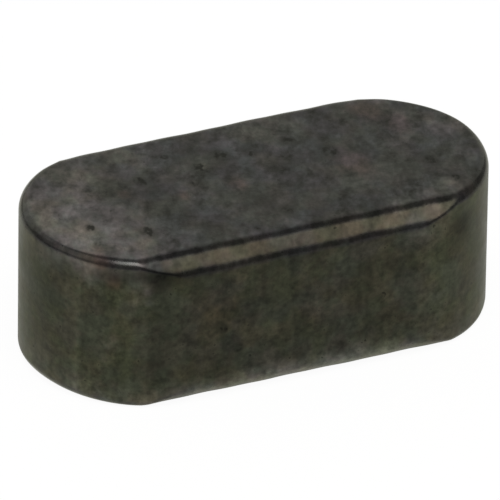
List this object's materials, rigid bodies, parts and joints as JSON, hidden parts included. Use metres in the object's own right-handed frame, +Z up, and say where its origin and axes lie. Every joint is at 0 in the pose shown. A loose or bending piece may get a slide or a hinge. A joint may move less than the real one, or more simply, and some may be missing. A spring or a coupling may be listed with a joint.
{
  "type": "parallel key",
  "caption": "Parallel key with two round ends and chamfered long edges, a steel bar that fills the keyseat of a shaft and the keyway of its hub so that they turn together.",
  "frame": {"origin": "middle of the bottom face, which beds in the keyseat of the shaft", "axes": "+X along the key, +Y across it from side face to side face, +Z up from the bottom face to the top face"},
  "size_m": [0.0118, 0.006, 0.004],
  "materials": {
    "key_steel": "tumbled dark grey steel with a dull oxide bloom"
  },
  "bodies": {
    "root": {"parallel_key": "key_steel"}
  },
  "joints": []
}
